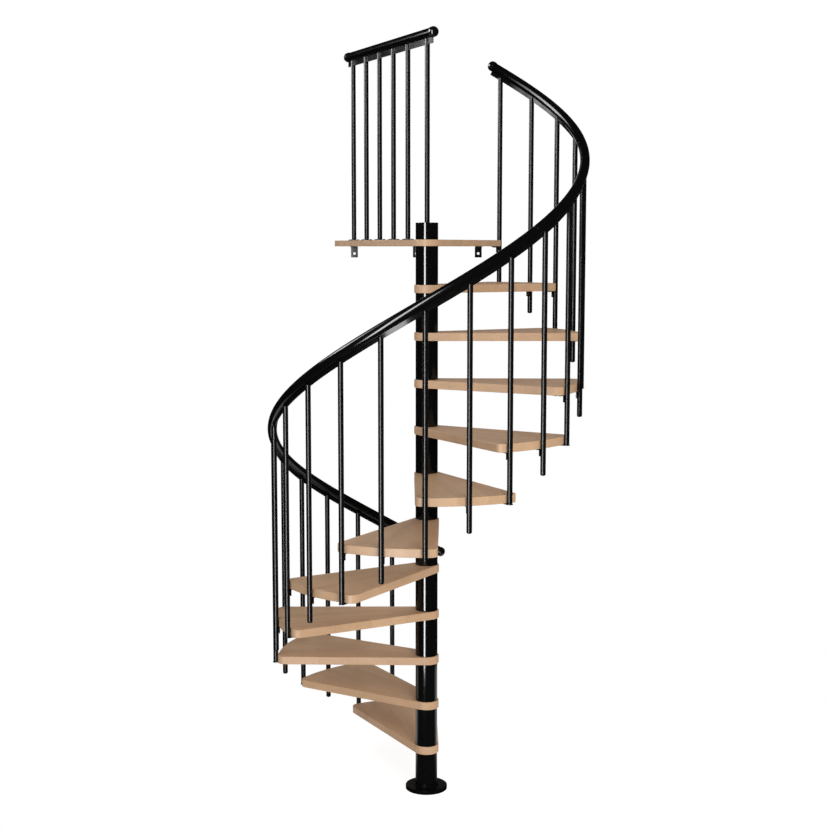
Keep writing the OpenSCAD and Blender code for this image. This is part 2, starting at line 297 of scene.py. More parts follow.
def group(name, inputs, outputs):
    """Starts a shader node group and gives its tree, its input node and its output node."""
    tree = bpy.data.node_groups.new(name, "ShaderNodeTree")
    for title, kind, value in inputs:
        socket = tree.interface.new_socket(title, in_out="INPUT", socket_type=kind)
        if value is not None:
            socket.default_value = value
    for title, kind in outputs:
        tree.interface.new_socket(title, in_out="OUTPUT", socket_type=kind)
    return tree, tree.nodes.new("NodeGroupInput"), tree.nodes.new("NodeGroupOutput")


def close_group(tree, end, values):
    """Leads a group's results to its output node."""
    for title, value in values.items():
        tree.links.new(value, end.inputs[title])
    print(tree.name, "group:", len(tree.nodes), "nodes")


def fill_group(tree, recipe, inputs):
    """Puts a node group in a tree and fills its sockets."""
    return node(tree, "Group", inputs, node_tree=recipe)


VECTOR, NUMBER = "NodeSocketVector", "NodeSocketFloat"
print("finish helpers ready")

# %% [markdown]
# ### Staves
# Strip wood is glued up from narrow staves, laid like bricks, each a slightly different
# shade. They could be separate meshes, but a grid worked out in the material gives hundreds
# of staves for nothing: rows across, lengths along, a random shift for each row and a random
# shade for each stave. A random shift of the grain in each stave breaks it at the joints.

# %% Staves group
staves, start, end = group(
    "strip_wood_staves",
    [("Place", VECTOR, None), ("Width", NUMBER, 0.042), ("Length", NUMBER, 0.46), ("Seed", NUMBER, 0.0)],
    [("Shade", NUMBER), ("Joint", NUMBER), ("Grain Place", VECTOR)])
axis = node(staves, "SeparateXYZ", {0: start.outputs["Place"]})
across = calc(staves, "DIVIDE", axis.outputs["Y"], start.outputs["Width"])
row = calc(staves, "FLOOR", across)
across = calc(staves, "SUBTRACT", across, row)
row_seed = calc(staves, "ADD", row, start.outputs["Seed"])
shift = node(staves, "TexWhiteNoise", {"W": row_seed}, noise_dimensions="1D").outputs["Value"]
along = calc(staves, "DIVIDE", axis.outputs["X"], start.outputs["Length"])
along = calc(staves, "ADD", along, shift)
stave = calc(staves, "FLOOR", along)
along = calc(staves, "SUBTRACT", along, stave)
which = node(staves, "CombineXYZ", {0: row, 1: stave, 2: start.outputs["Seed"]})
random = node(staves, "TexWhiteNoise", {"Vector": which.outputs[0]}, noise_dimensions="3D")


def to_edge(share, size):
    """Distance from a place to the nearer edge of its stave."""
    share = calc(staves, "MINIMUM", share, calc(staves, "SUBTRACT", 1.0, share))
    return calc(staves, "MULTIPLY", share, start.outputs[size])


edge = calc(staves, "MINIMUM", to_edge(across, "Width"), to_edge(along, "Length"))
joint = step_node(staves, edge, 0.0001, 0.0004, 1.0, 0.0)
slide = {0: random.outputs["Color"], "Scale": 3.0}
slide = node(staves, "VectorMath", slide, operation="SCALE").outputs[0]
slid = {0: start.outputs["Place"], 1: slide}
slid = node(staves, "VectorMath", slid, operation="ADD").outputs[0]
close_group(staves, end, {"Shade": random.outputs["Value"], "Joint": joint, "Grain Place": slid})

# %% [markdown]
# ### Grain
# Wood grain is noise pulled out along the board. Three scales matter: slow bands where the
# rings run, fine streaks, and short dark pores. On the end of a board the same noise is cut
# across, so it turns into the dots of end grain by itself.

# %% Grain group
grain, start, end = group(
    "strip_wood_grain",
    [("Place", VECTOR, None)],
    [("Bands", NUMBER), ("Streaks", NUMBER), ("Pores", NUMBER)])


def stretched(tree, place, size, **values):
    """Noise whose pattern is squeezed by a size along each axis."""
    squeezed = node(tree, "VectorMath", {0: place, 1: size}, operation="MULTIPLY")
    return noise(tree, squeezed.outputs[0], 1.0, **values)


place = start.outputs["Place"]
bands = stretched(grain, place, (1.6, 34, 34), Detail=2.0, Roughness=0.5, Distortion=0.7)
streaks = stretched(grain, place, (7, 260, 260), Detail=4.0, Roughness=0.62, Distortion=0.2)
pores = stretched(grain, place, (60, 1500, 1500), Detail=1.0, Roughness=0.4)
close_group(grain, end, {
    "Bands": step_node(grain, bands, 0.3, 0.7),
    "Streaks": step_node(grain, streaks, 0.3, 0.72),
    "Pores": step_node(grain, pores, 0.60, 0.70)})

# %% [markdown]
# ### Worn edges
# Hands and feet wear a surface first on its edges. A Bevel node rounds the normal there, so
# the angle between the rounded and the true normal is a mask of the edges. Painting the mask
# by hand would also work, but this one follows any shape.

# %% Edge group
edges, start, end = group("worn_edges", [("Width", NUMBER, 0.002)], [("Mask", NUMBER)])
bevel = node(edges, "Bevel", {"Radius": start.outputs["Width"]}, samples=4)
true = node(edges, "NewGeometry").outputs["True Normal"]
along = node(edges, "VectorMath", {0: bevel.outputs[0], 1: true}, operation="DOT_PRODUCT")
along = along.outputs["Value"]
place = node(edges, "TexCoord").outputs["Object"]
rub = noise(edges, place, 38.0, Detail=4.0)
mask = step_node(edges, along, 0.75, 0.995, 1.0, 0.0)
mask = calc(edges, "MULTIPLY", mask, step_node(edges, rub, 0.35, 0.75))
close_group(edges, end, {"Mask": mask})

# %% [markdown]
# ### Strip wood
# The lacquered wood is a warm pinkish tan. Each stave shifts it a little, the bands and
# streaks darken it along the grain, the pores are small brown dashes, and the glue lines are
# thin and dark. The lacquer is satin, so the gloss is low and slightly uneven.

# %% Strip wood
WOOD_MARKS = {
    "Bands": (0.20, (0.80, 0.74, 0.68, 1)),
    "Streaks": (0.30, (0.80, 0.73, 0.66, 1)),
    "Pores": (0.40, (0.52, 0.42, 0.34, 1)),
    "Joint": (0.30, (0.48, 0.38, 0.30, 1))}
RUBBED_TAN = (0.80, 0.60, 0.43, 1)


def strip_wood(name, pale, dark, stave_width, stave_length):
    """Clear-lacquered strip wood with staves along the object's own X axis."""
    material, tree, shader = fresh_material(name)
    place = node(tree, "TexCoord").outputs["Object"]
    own = node(tree, "ObjectInfo").outputs["Random"]
    seed = calc(tree, "MULTIPLY", own, 57.0)
    sizes = {"Place": place, "Width": stave_width, "Length": stave_length, "Seed": seed}
    layout = fill_group(tree, staves, sizes)
    figure = fill_group(tree, grain, {"Place": layout.outputs["Grain Place"]})
    rub = fill_group(tree, edges, {"Width": 0.0035})
    shade = step_node(tree, layout.outputs["Shade"], 0.0, 1.0, 0.12, 0.62)
    colour = blend(tree, "MIX", shade, pale, dark)
    for mark, (amount, tint) in WOOD_MARKS.items():
        source = layout if mark == "Joint" else figure
        part = calc(tree, "MULTIPLY", source.outputs[mark], amount)
        colour = blend(tree, "MULTIPLY", part, colour, tint)
    worn = calc(tree, "MULTIPLY", rub.outputs["Mask"], 0.25)
    colour = blend(tree, "MIX", worn, colour, RUBBED_TAN)
    tree.links.new(colour, shader.inputs["Base Color"])
    dull = calc(tree, "MULTIPLY_ADD", figure.outputs["Streaks"], 0.10, 0.44)
    dull = calc(tree, "MULTIPLY_ADD", figure.outputs["Pores"], 0.12, dull)
    tree.links.new(dull, shader.inputs["Roughness"])
    height = calc(tree, "MULTIPLY_ADD", figure.outputs["Pores"], 0.6, layout.outputs["Joint"])
    height = calc(tree, "MULTIPLY_ADD", figure.outputs["Streaks"], 0.25, height)
    relief = {"Height": height, "Strength": 0.35, "Distance": 0.0003}
    bump = node(tree, "Bump", relief, invert=True)
    tree.links.new(bump.outputs[0], shader.inputs["Normal"])
    shader.inputs["Specular IOR Level"].default_value = 0.22
    return material


pale_tan = (0.570, 0.374, 0.228, 1)
deep_tan = (0.487, 0.308, 0.181, 1)
tread_wood = strip_wood("tread_wood", pale_tan, deep_tan, 0.044, 0.52)
landing_wood = strip_wood("landing_wood", pale_tan, deep_tan, 0.046, 0.60)
print("wood finishes:", tread_wood.name, landing_wood.name)

# %% [markdown]
# ### Paint skin
# Sprayed or powdered paint is never perfectly flat: it has a faint orange peel, patches that
# are a touch duller, and a little dust on whatever faces up. The group gives the peel as a
# height, and the dull patches and the dust as masks.

# %% Paint skin group
skin, start, end = group(
    "paint_skin",
    [("Place", VECTOR, None), ("Peel Size", NUMBER, 700.0)],
    [("Peel", NUMBER), ("Patches", NUMBER), ("Dust", NUMBER)])
place = start.outputs["Place"]
peel = noise(skin, place, start.outputs["Peel Size"], Detail=2.0, Roughness=0.45)
patches = noise(skin, place, 9.0, Detail=5.0, Roughness=0.6)
speck = noise(skin, place, 420.0, Detail=3.0, Roughness=0.7)
up = node(skin, "NewGeometry").outputs["Normal"]
up = node(skin, "SeparateXYZ", {0: up}).outputs["Z"]
dust = calc(skin, "MULTIPLY", step_node(skin, up, 0.55, 1.0), step_node(skin, speck, 0.50, 0.70))
patches = step_node(skin, patches, 0.35, 0.70)
close_group(skin, end, {"Peel": peel, "Patches": patches, "Dust": dust})

# %% [markdown]
# ### Black paint
# All the steel is black. The column, the handrail and the flat strips are smooth and mirror
# the panels as hard lines. The bars and posts are duller, so their line is softer, and the
# flange and the screws are dullest. One recipe makes them all, with its own dullness, gloss
# and peel for each.

# %% Black paint
DUST_AMOUNT, DUST_GREY = 0.015, (0.20, 0.19, 0.18, 1)
RUBBED_BLACK = (0.10, 0.10, 0.105, 1)


def black_paint(name, dull, gloss, peel_size, peel_depth, shade=0.0026, wear=0.10):
    """Black paint on steel; dull is the roughness and gloss the specular level."""
    material, tree, shader = fresh_material(name)
    place = node(tree, "TexCoord").outputs["Object"]
    surface = fill_group(tree, skin, {"Place": place, "Peel Size": peel_size})
    rub = fill_group(tree, edges, {"Width": 0.0012})
    dusty = calc(tree, "MULTIPLY", surface.outputs["Dust"], DUST_AMOUNT)
    colour = blend(tree, "MIX", dusty, (shade, shade, shade * 1.04, 1), DUST_GREY)
    worn = calc(tree, "MULTIPLY", rub.outputs["Mask"], wear)
    colour = blend(tree, "MIX", worn, colour, RUBBED_BLACK)
    tree.links.new(colour, shader.inputs["Base Color"])
    rough = calc(tree, "MULTIPLY_ADD", surface.outputs["Patches"], dull * 0.35, dull)
    rough = calc(tree, "MULTIPLY_ADD", surface.outputs["Dust"], 0.10, rough)
    tree.links.new(rough, shader.inputs["Roughness"])
    relief = {"Height": surface.outputs["Peel"], "Strength": 0.25, "Distance": peel_depth}
    tree.links.new(node(tree, "Bump", relief).outputs[0], shader.inputs["Normal"])
    shader.inputs["Specular IOR Level"].default_value = gloss
    return material


flange_paint = black_paint("flange_paint", 0.32, 0.015, 500.0, 0.00003)
column_paint = black_paint("column_paint", 0.09, 0.35, 400.0, 0.00001, wear=0.05)
bar_paint = black_paint("bar_paint", 0.25, 0.22, 600.0, 0.00001, wear=0.05)
post_paint = black_paint("post_paint", 0.25, 0.18, 610.0, 0.00001, wear=0.05)
handrail_paint = black_paint("handrail_paint", 0.12, 0.22, 500.0, 0.00001, wear=0.08)
cap_paint = black_paint("cap_paint", 0.14, 0.40, 900.0, 0.00001, shade=0.0034)
strip_paint = black_paint("strip_paint", 0.13, 0.13, 650.0, 0.00002, shade=0.0034, wear=0.12)
fitting_paint = black_paint("fitting_paint", 0.18, 0.24, 800.0, 0.00003, shade=0.0034, wear=0.16)
screw_black = black_paint("screw_black", 0.30, 0.50, 1500.0, 0.00002, shade=0.014, wear=0.30)
print(len(bpy.data.materials), "materials, with the CAD model's and the floor's")

# %% [markdown]
# ## Shapes
# Nearly everything on this stair is turned, pressed or rolled. Turned pieces come from a
# half outline spun round an axis. Flat pieces come from an outline given a thickness, with
# its edges eased. The winding rails come from a section carried along a helix. One helper
# covers each of them. Others apply modifiers, among them one that keeps the shading true on
# big flat faces next to small roundings, and put a finished piece in its place.


# %% Shape helpers
def arc(x, y, radius, first, last, steps):
    """Points of an arc; angles in degrees."""
    angles = [math.radians(first + (last - first) * i / steps) for i in range(steps + 1)]
    return [(x + radius * math.cos(a), y + radius * math.sin(a)) for a in angles]


def mesh_from(name, points, faces):
    """Mesh with its faces turned outward."""
    mesh = bpy.data.meshes.new(name)
    mesh.from_pydata(points, [], faces)
    work = bmesh.new()
    work.from_mesh(mesh)
    bmesh.ops.recalc_face_normals(work, faces=work.faces)
    work.to_mesh(mesh)
    work.free()
    return mesh


def turned(name, outline, sides):
    """Spins a half outline of (radius, height) points round Z. It starts and ends on the axis."""
    points, rings = [], []
    for radius, height in outline:
        first = len(points)
        if radius < 1e-6:
            points.append((0, 0, height))
            rings.append([first] * sides)
            continue
        turns = [2 * math.pi * i / sides for i in range(sides)]
        points.extend((radius * math.cos(t), radius * math.sin(t), height) for t in turns)
        rings.append([first + i for i in range(sides)])
    faces = []
    for low, high in zip(rings, rings[1:]):
        for i in range(sides):
            j = (i + 1) % sides
            faces.append(list(dict.fromkeys([low[i], low[j], high[j], high[i]])))
    return mesh_from(name, points, faces)


def pressed(name, outline, low, high, ease, steps=3):
    """Gives a flat outline a thickness from low to high, and eases its edges."""
    count = len(outline)
    points = [(x, y, low) for x, y in outline] + [(x, y, high) for x, y in outline]
    faces = [list(range(count - 1, -1, -1)), list(range(count, 2 * count))]
    faces += [[i, (i + 1) % count, count + (i + 1) % count, count + i] for i in range(count)]
    mesh = mesh_from(name, points, faces)
    work = bmesh.new()
    work.from_mesh(mesh)
    sharp = [e for e in work.edges if e.calc_face_angle(0) > math.radians(35)]
    bmesh.ops.bevel(work, geom=sharp, offset=ease, offset_type="OFFSET", segments=steps, profile=0.5,
                    affect="EDGES", clamp_overlap=True)
    work.to_mesh(mesh)
    work.free()
    return mesh


def carried(name, section, stations, place):
    """Carries a closed section along stations; place(station, u, v) gives each point."""
    count = len(section(stations[0]))
    points = [place(s, u, v) for s in stations for u, v in section(s)]
    faces = [list(range(count)), [(len(stations) - 1) * count + i for i in range(count - 1, -1, -1)]]
    for k in range(len(stations) - 1):
        for i in range(count):
            j = (i + 1) % count
            faces.append([k * count + i, k * count + j, (k + 1) * count + j, (k + 1) * count + i])
    return mesh_from(name, points, faces)


print("shape helpers ready")


# %% Helpers that apply a modifier
CREASE = 32


def off_bench(held, *tools):
    """Mesh of a held object with its modifiers applied; the object and the tools go."""
    done = bpy.data.meshes.new_from_object(held.evaluated_get(bpy.context.evaluated_depsgraph_get()))
    done.name = held.data.name
    for spent in (held, *tools):
        bpy.data.objects.remove(spent)
    return done


def smoothed(mesh):
    """Smooth shading with crisp corners; big flat faces keep their own direction."""
    mesh.shade_smooth()
    mesh.set_sharp_from_angle(angle=math.radians(CREASE))
    held = added("stand", mesh)
    held.modifiers.new("weights", "WEIGHTED_NORMAL").keep_sharp = True
    return off_bench(held)


def cut_away(mesh, tool):
    """Cuts a tool's shape out of a mesh."""
    held, saw = added("held", mesh), added("saw", tool)
    cut = held.modifiers.new("cut", "BOOLEAN")
    cut.operation = "DIFFERENCE"
    cut.solver = "EXACT"
    cut.object = saw
    return off_bench(held, saw)


print("bench helpers ready")


# %% Joining and placing helpers
made = []
HERE = Matrix.Identity(4)


def joined(name, parts):
    """One mesh from several (mesh, place, material number) parts."""
    work = bmesh.new()
    for mesh, place, number in parts:
        before = len(work.faces)
        copy = mesh.copy()
        copy.transform(place)
        work.from_mesh(copy)
        work.faces.ensure_lookup_table()
        for face in work.faces[before:]:
            face.material_index = number
        bpy.data.meshes.remove(copy)
    mesh = bpy.data.meshes.new(name)
    work.to_mesh(mesh)
    work.free()
    return mesh


def put(name, mesh, nodes, place=HERE):
    """Puts a finished piece on the stair, in the place of CAD nodes."""
    piece = added(name, mesh)
    piece.matrix_world = place
    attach(piece, "root")
    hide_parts(*nodes)
    made.append(piece)


def at(x, y, z):
    """Matrix that moves a piece."""
    return Matrix.Translation((x, y, z))


def turned_by(degrees, axis):
    """Matrix that turns a piece."""
    return Matrix.Rotation(math.radians(degrees), 4, axis)


print("placing helpers ready")

# %% [markdown]
# ## Base flange
# The stair stands on a thick steel disc with the first tube welded to it. The disc is turned
# from one outline: a rounded rim, a flat top and a hollow weld. The weld's ripples are moved
# points, because real ripples catch the light from every side.

# %% Base flange
UNDER_EASE, RIM_R, WELD_TOE = 0.0006, 0.002, 0.0006
RIPPLES, RIPPLE_SLANT, RIPPLE_DEPTH = 64, 260, 0.00022
RIPPLE_FROM, RIPPLE_TO = COLUMN_R + 0.0004, COLUMN_R + WELD_R - 0.0002
outline = [(0, 0), (FLANGE_R - UNDER_EASE, 0), (FLANGE_R, UNDER_EASE)]
outline += arc(FLANGE_R - RIM_R, FLANGE_T - RIM_R, RIM_R, 0, 90, 6)
outline += [(COLUMN_R + WELD_R + WELD_TOE, FLANGE_T)]
outline += arc(COLUMN_R + WELD_R, FLANGE_T + WELD_R, WELD_R, 270, 180, 10)
outline += [(0, FLANGE_T + WELD_R)]
flange_mesh = turned("base_flange", outline, 192)
for corner in flange_mesh.vertices:
    radius = math.hypot(corner.co.x, corner.co.y)
    if RIPPLE_FROM < radius < RIPPLE_TO and corner.co.z > FLANGE_T:
        angle = math.atan2(corner.co.y, corner.co.x)
        wave = math.sin(RIPPLES * angle + RIPPLE_SLANT * (radius - COLUMN_R))
        swell = 1 + RIPPLE_DEPTH * wave / radius
        corner.co.x *= swell
        corner.co.y *= swell
flange_mesh.materials.append(flange_paint)
put("base_flange_piece", smoothed(flange_mesh), ["base_flange"])
print("flange faces", len(flange_mesh.polygons))

# %% [markdown]
# ## Column
# The column is a stack of short tubes that clamp the treads' hubs between them, pulled
# together by a rod inside. Each tube has finely rounded ends, so a thin line shows where it
# meets the wood. The top one is closed by a pressed-in plug. One long cylinder would look
# nearly the same from afar, but it would lose those lines.


# %% Column
TUBE_EASE = 0.0011
WALL, GROOVE_DEPTH, GROOVE_SLANT = 0.0034, 0.0012, 0.0004
PLUG_R, PLUG_EASE, PLUG_SINK = COLUMN_R - 0.0050, 0.0018, 0.0002


def tube_outline(low, high):
    """Half outline of one tube with rounded ends; the top tube ends in a plug in a groove."""
    middle = COLUMN_R - TUBE_EASE
    points = [(0, low)] + arc(middle, low + TUBE_EASE, TUBE_EASE, 270, 360, 4)
    points += arc(middle, high - TUBE_EASE, TUBE_EASE, 0, 90, 4)
    if high != COLUMN_TOP:
        return points + [(0, high)]
    points += [(COLUMN_R - WALL, high), (COLUMN_R - WALL - GROOVE_SLANT, high - GROOVE_DEPTH)]
    points += [(PLUG_R + GROOVE_SLANT, high - GROOVE_DEPTH)]
    points += arc(PLUG_R - PLUG_EASE, high - PLUG_SINK - PLUG_EASE, PLUG_EASE, 0, 90, 4)
    return points + [(0, high - PLUG_SINK)]


spans = [(FLANGE_T + WELD_R, underside(1))]
spans += [(k * RISE, underside(k + 1)) for k in range(1, STEPS + 1)]
spans += [(LANDING_TOP, COLUMN_TOP)]
tubes = [(turned("tube", tube_outline(low, high), 128), HERE, 0) for low, high in spans]
column_mesh = joined("column_tubes", tubes)
column_mesh.materials.append(column_paint)
put("column_tubes_piece", smoothed(column_mesh), ["column_tubes"])
print(len(spans), "tubes")

# %% [markdown]
# ## Treads
# Each tread is a wedge of strip wood: a round hub that the column clamps, two straight
# sides, an outer edge on the stair's circle and rounded corners. All eleven are alike, so
# one mesh is drawn once, with its middle along X, and turned into place. That also lays the
# staves along every tread. The edges are eased with a real rounding, as a router leaves them.


# %% Tread outline
NOSING_OVER, BACK_OVER, CORNER_R, TREAD_EASE = 3.5, 4.3, 0.032, 0.0028


def side_corner(direction, side):
    """Rounded corner where a straight side, which touches the hub, meets the outer edge."""
    y = HUB_R - CORNER_R
    x = math.sqrt((TREAD_R - CORNER_R) ** 2 - y * y)
    low = math.degrees(math.atan2(y, x))
    c, s = math.cos(math.radians(direction)), math.sin(math.radians(direction))
    return [(u * c + side * v * s, u * s - side * v * c) for u, v in arc(x, y, CORNER_R, 90, low, 9)]


lean = math.degrees(math.asin(HUB_R / TREAD_R))
nose_line = -TURN / 2 - NOSING_OVER + lean
back_line = TURN / 2 + BACK_OVER - lean
nose = side_corner(nose_line, 1)
back = side_corner(back_line, -1)[::-1]
first = math.degrees(math.atan2(nose[-1][1], nose[-1][0]))
last = math.degrees(math.atan2(back[0][1], back[0][0]))
rim = arc(0, 0, TREAD_R, first, last, 36)[1:-1]
tread_outline = nose + rim + back + arc(0, 0, HUB_R, back_line + 90, nose_line + 270, 44)
print("tread outline", len(tread_outline), "points, edge from", round(first, 2), "to", round(last, 2))

# %% Treads
tread_mesh = pressed("tread", tread_outline, 0, TREAD_T, TREAD_EASE, 4)
tread_mesh.materials.append(tread_wood)
tread_mesh = smoothed(tread_mesh)
for k in range(1, STEPS + 1):
    spot = at(0, 0, underside(k)) @ turned_by(START + (k - 0.5) * TURN, "Z")
    put("tread_%02d_wood" % k, tread_mesh, ["tread_%02d" % k], spot)
print("tread faces", len(tread_mesh.polygons))

# %% [markdown]
# ## Landing board
# The landing closes the top of the stair. It has the same hub and nosing corner as a tread,
# a side that runs straight back beside the last baluster, a square back edge that bolts to
# the floor above, and a long slanted side under the guard. Its staves run from side to side.

# %% Landing board
LANDING_OVER, LANDING_EASE, REAR_R = 2.1, 0.0024, 0.018
CHAMFER_X, CHAMFER_Y, SIDE_START = 0.004, 0.003, 0.002
nose_line = LAST - 360 - LANDING_OVER + lean
nose = side_corner(nose_line, 1)
far_corner = math.degrees(math.atan2(LANDING_BACK, LANDING_LEFT))
left_line = far_corner - math.degrees(math.asin(HUB_R / math.hypot(LANDING_BACK, LANDING_LEFT)))
rear = arc(LANDING_RIGHT - REAR_R, LANDING_BACK - REAR_R, REAR_R, 0, 90, 8)
rear += [(LANDING_LEFT + CHAMFER_X, LANDING_BACK), (LANDING_LEFT, LANDING_BACK - CHAMFER_Y)]
landing_outline = nose + [(LANDING_RIGHT, nose[-1][1] + SIDE_START)] + rear
landing_outline += arc(0, 0, HUB_R, left_line + 90, nose_line + 270, 44)
landing_mesh = pressed("landing", landing_outline, LANDING_BASE, LANDING_TOP, LANDING_EASE, 4)
landing_mesh.materials.append(landing_wood)
put("landing_board_wood", smoothed(landing_mesh), ["landing_board"])
print("landing faces", len(landing_mesh.polygons))

# %% [markdown]
# ## Balusters
# The balusters are round steel bars with rounded ends, sawn at the top so that they straddle
# the flat strip under the handrail. A real one is slotted on the handrail's slope, so the
# slot is cut out of the mesh with a sloped block, once for each kind of bar: the first one,
# the ones that link two treads, and the middle ones that hang past their tread.


# %% Bar helpers
BAR_EASE, HANG_EASE = 0.003, 0.007
LINE_DEPTH, LINE_HEIGHTS = 0.0004, (0.0082, 0.0085, 0.0090, 0.0093)


def bar_mesh(name, low, high, plug=False):
    """Round bar with rounded ends; a hanging one has a rounder plug with a fine line above it."""
    r = BAR_D / 2
    ease = HANG_EASE if plug else BAR_EASE
    points = [(0, low)] + arc(r - ease, low + ease, ease, 270, 360, 10)
    if plug:
        points += [(r - d, low + h) for d, h in zip((0, LINE_DEPTH, LINE_DEPTH, 0), LINE_HEIGHTS)]
    points += arc(r - BAR_EASE, high - BAR_EASE, BAR_EASE, 0, 90, 6) + [(0, high)]
    return turned(name, points, 48)


def slotted(mesh, rail_z, slope, drop):
    """Cuts the slot for the flat strip in a bar's top; the strip runs along Y."""
    half, reach = STRIP_T / 2 + SLOT, BAR_D * 2
    c, s = math.cos(slope), math.sin(slope)
    points = [(x, y * c - v * s, rail_z + y * s + v * c)
              for v in (-drop - SLOT, drop) for y in (-reach, reach) for x in (-half, half)]
    faces = [[0, 1, 3, 2], [4, 5, 7, 6], [0, 1, 5, 4], [2, 3, 7, 6], [0, 2, 6, 4], [1, 3, 7, 5]]
    return cut_away(mesh, mesh_from("saw", points, faces))


print("bar helpers ready")

# %% Baluster meshes
link_rail = rail_height(START + TURN) - underside(1)
middle_rail = rail_height(START + TURN / 2) - underside(1)
first_bar = bar_mesh("bar_first", LUG_T + SEAT, RAIL_HEIGHT - BAR_TOP)
first_bar = slotted(first_bar, RAIL_HEIGHT, PITCH, STRIP_DROP)
link_bar = slotted(bar_mesh("bar_link", SEAT, link_rail - BAR_TOP), link_rail, PITCH, STRIP_DROP)
middle_bar = bar_mesh("bar_middle", -BAR_HANG, middle_rail - BAR_TOP, True)
middle_bar = slotted(middle_bar, middle_rail, PITCH, STRIP_DROP)
out = at(BAR_CIRCLE, 0, 0)
half_back = turned_by(-TURN / 2, "Z")
first_mesh = joined("balusters_first", [(first_bar, out, 0)])
pair_mesh = joined("balusters_pair", [(link_bar, out, 0), (middle_bar, half_back @ out, 0)])
for mesh in (first_mesh, pair_mesh):
    mesh.materials.append(bar_paint)
first_mesh = smoothed(first_mesh)
pair_mesh = smoothed(pair_mesh)
put("baluster_first", first_mesh, ["balusters_00"], turned_by(START, "Z"))
for k in range(1, STEPS + 1):
    spot = at(0, 0, underside(k)) @ turned_by(START + k * TURN, "Z")
    put("baluster_pair_%02d" % k, pair_mesh, ["balusters_%02d" % k], spot)
middle_length = middle_rail - BAR_TOP + BAR_HANG
print("link bar", round(link_rail - BAR_TOP, 4), "m, middle bar", round(middle_length, 4), "m")

# %% [markdown]
# ## Lugs and foot plates
# Bent flat steel holds the bars to the wood: one leg lies under the tread with two screws,
# the other stands against the bar with one. A linking bar also stands on a foot plate, which
# is rounded off round the bar. The bend has a real inside and outside radius, which a plain
# angle of two blocks would lack.

# %% Screw
SCREW_R, SCREW_EASE, HEAD_RIM, HEAD_RISE = 0.0052, 0.0002, 0.0006, 0.0020
RECESS_R, RECESS_Z, RECESS_TIP = 0.0021, 0.0012, 0.0009
recess = [(RECESS_R, HEAD_RIM + HEAD_RISE), (RECESS_R, RECESS_Z), (0, RECESS_TIP)]
dome = [(SCREW_R * c, HEAD_RIM + HEAD_RISE * s) for c, s in arc(0, 0, 1, 0, 60, 5)]
seat = [(0, 0), (SCREW_R - SCREW_EASE, 0), (SCREW_R, SCREW_EASE)]
screw_mesh = turned("screw", seat + dome + recess, 24)
print("screw faces", len(screw_mesh.polygons))


# %% Lug and plate meshes
LUG_LEG, LUG_DROP, LUG_W, LUG_EASE = 0.052, 0.030, 0.020, 0.0006
LUG_SCREWS, BAR_SCREW = (-0.042, -0.021), 0.019
FOOT_LIP, FOOT_CORNER = 0.002, 0.004
BEND_R = 0.0015


def bent_angle(name, leg, drop, thick, width, ease):
    """Bent flat steel; X runs out to the bend, the flat leg's top is at height 0."""
    outer = thick + BEND_R
    outline = [(-leg, 0)] + arc(-outer, -outer, outer, 90, 0, 7) + [(0, -drop), (-thick, -drop)]
    outline += arc(-outer, -outer, BEND_R, 0, 90, 5) + [(-leg, -thick)]
    flat = pressed(name, outline, -width / 2, width / 2, ease, 2)
    flat.transform(turned_by(90, "X"))
    return flat


def foot_mesh():
    """Foot plate under a bar, round at the bar's end; its top is at height 0."""
    half = BAR_D / 2 + FOOT_LIP
    inner, side = FOOT_CORNER - LUG_LEG, half - FOOT_CORNER
    outline = arc(BAR_D / 2, 0, half, -90, 90, 25)
    outline += arc(inner, side, FOOT_CORNER, 90, 180, 5)
    outline += arc(inner, -side, FOOT_CORNER, 180, 270, 5)
    return pressed("foot_plate", outline, -LUG_T, 0, LUG_EASE, 2)


lug = bent_angle("lug", LUG_LEG, LUG_DROP, LUG_T, LUG_W, LUG_EASE)
below = turned_by(180, "X")
against = at(-LUG_T, 0, -BAR_SCREW) @ turned_by(-90, "Y")
wood_screws = [(screw_mesh, at(x, 0, -LUG_T) @ below, 1) for x in LUG_SCREWS]
lug_set = [(lug, HERE, 0), (screw_mesh, against, 1)] + wood_screws
foot_set = [(foot_mesh(), HERE, 0)] + wood_screws
print("lug and foot plate ready")


# %% Lugs and foot plates in place
def moved(parts, place):
    """The same parts, all moved."""
    return [(mesh, place @ own, number) for mesh, own, number in parts]


def fitted(name, parts):
    """One smooth mesh of painted steel (material 0) and its screws (material 1)."""
    mesh = joined(name, parts)
    mesh.materials.append(fitting_paint)
    mesh.materials.append(screw_black)
    return smoothed(mesh)


def foot_height(step):
    """Height that a step's linking bar stands on; the first bar stands on the floor's plate."""
    return underside(step) if step else LUG_T


bar_face = at(BAR_CIRCLE - BAR_D / 2, 0, 0)


def fittings(name, step):
    """All the flat steel of one step, in the link bar's own frame."""
    if step:
        parts = moved(foot_set, bar_face) + moved(lug_set, half_back @ bar_face)
    else:
        floor_screws = [(screw_mesh, at(x, 0, 0), 1) for x in LUG_SCREWS]
        parts = moved(foot_set[:1] + floor_screws, bar_face)
    above = at(0, 0, underside(step + 1) - foot_height(step))
    return fitted(name, parts + moved(lug_set, above @ bar_face))


kinds = {0: fittings("fittings_first", 0), 1: fittings("fittings_step", 1)}
kinds[STEPS] = fittings("fittings_last", STEPS)
for k in range(STEPS + 1):
    spot = at(0, 0, foot_height(k)) @ turned_by(START + k * TURN, "Z")
    put("fittings_%02d" % k, kinds.get(k, kinds[1]), ["balusters_%02d" % k], spot)
print("fittings faces", len(kinds[1].polygons))

